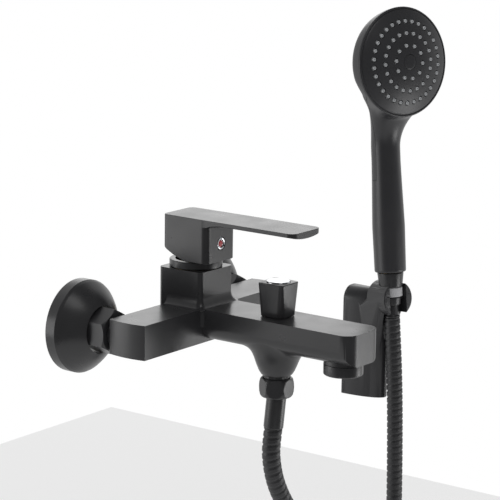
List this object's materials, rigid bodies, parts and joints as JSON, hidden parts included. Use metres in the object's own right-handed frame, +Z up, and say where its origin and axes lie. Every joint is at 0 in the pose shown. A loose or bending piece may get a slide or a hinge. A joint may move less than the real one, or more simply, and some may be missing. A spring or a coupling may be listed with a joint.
{
  "type": "wall mounted bath and shower mixer with hand shower",
  "caption": "Matte black wall mounted bath mixer: lever body, spout with a diverter, and a hand shower on a ribbed hose in its wall bracket.",
  "frame": {"origin": "on the wall plane, midway between the two inlets, at the height of their axis", "axes": "+Z up, +Y into the wall, so the mixer stands out towards -Y and +X is to the right facing the wall"},
  "size_m": [0.4457, 0.224, 0.6253],
  "materials": {
    "paint": "matte black powder coat",
    "brass": "machined",
    "chrome": "polished",
    "rubber": "plain",
    "ceramic": "ground ceramic",
    "plastic": "matte black",
    "white_plastic": "moulded",
    "grey_plastic": "moulded, mid grey",
    "silicone": "soft, light grey",
    "steel": "stainless",
    "red": "red moulded insert"
  },
  "bodies": {
    "mixer": {"wall_flange_left": "paint", "wall_flange_right": "paint", "eccentric_union_left": "brass", "eccentric_union_right": "brass", "union_nut_left": "paint", "union_nut_right": "paint", "inlet_nipple_left": "paint", "inlet_nipple_right": "paint", "inlet_washer_left": "rubber", "inlet_washer_right": "rubber", "body_casting": "paint", "cartridge_seal": "rubber", "cartridge_housing": "white_plastic", "fixed_ceramic_disc": "ceramic", "cartridge_nut": "brass", "cover_ring": "paint", "diverter_bush": "brass", "diverter_collar": "rubber", "outlet_nipple": "paint", "hose_washer_lower": "rubber", "hose_nut": "paint", "hose_ferrule_lower": "paint", "aerator_housing": "paint", "aerator_insert": "white_plastic", "aerator_washer": "rubber", "hose_lower": "plastic", "hose_coil": "plastic", "hose_tie": "rubber", "hose_upper": "plastic", "bracket_body": "plastic", "bracket_plate": "white_plastic", "bracket_screw_lower": "steel", "bracket_screw_upper": "steel"},
    "rotor": {"cartridge_rotor": "white_plastic", "stem_pin": "steel"},
    "lever": {"lever_stem": "brass", "lever_handle": "paint", "lever_set_screw": "steel", "index_plug": "chrome", "index_dot": "red"},
    "disc": {"moving_ceramic_disc": "ceramic"},
    "diverter": {"diverter_spindle": "brass", "diverter_knob": "paint", "diverter_screw": "steel", "diverter_cap": "chrome"},
    "hose_end": {"hose_ferrule_upper": "paint", "cone_nut_lower": "paint", "swivel_ring": "grey_plastic"},
    "handset": {"cone_nut_upper": "paint", "cone_washer": "rubber", "handset_grip_shell": "plastic", "handset_back_shell": "plastic", "handset_connector": "brass", "water_tube": "white_plastic", "spray_chamber": "white_plastic", "nozzle_mat": "silicone", "spray_face": "plastic", "spray_face_cap": "plastic"}
  },
  "joints": [
    {"name": "lever_swivel", "type": "hinge", "parent": "mixer", "child": "rotor", "pos_m": [0, -0.0535, 0.03], "axis": [0, 0, 1], "range_deg": [-50, 50]},
    {"name": "lever_tilt", "type": "hinge", "parent": "rotor", "child": "lever", "pos_m": [0, -0.0535, 0.0295], "axis": [-1, 0, 0], "range_deg": [0, 20]},
    {"name": "disc_slide", "type": "slide", "parent": "rotor", "child": "disc", "axis": [0, -1, 0], "range_m": [0, 0.0028]},
    {"name": "diverter_turn", "type": "hinge", "parent": "mixer", "child": "diverter", "pos_m": [0, -0.13, 0.02], "axis": [0, 0, 1], "range_deg": [0, 90]},
    {"name": "handset_lift", "type": "slide", "parent": "mixer", "child": "hose_end", "axis": [0.0329, 0.1001, 0.9944], "range_m": [0, 0.045], "deforming": ["hose_upper"]},
    {"name": "handset_turn", "type": "hinge", "parent": "hose_end", "child": "handset", "pos_m": [0.2905, -0.0425, -0.042], "axis": [0.0329, 0.1001, 0.9944], "range_deg": [-40, 40]}
  ],
  "couplings": [
    {"joint": "disc_slide", "follows": "lever_tilt", "m_per_rad": 0.0077}
  ]
}
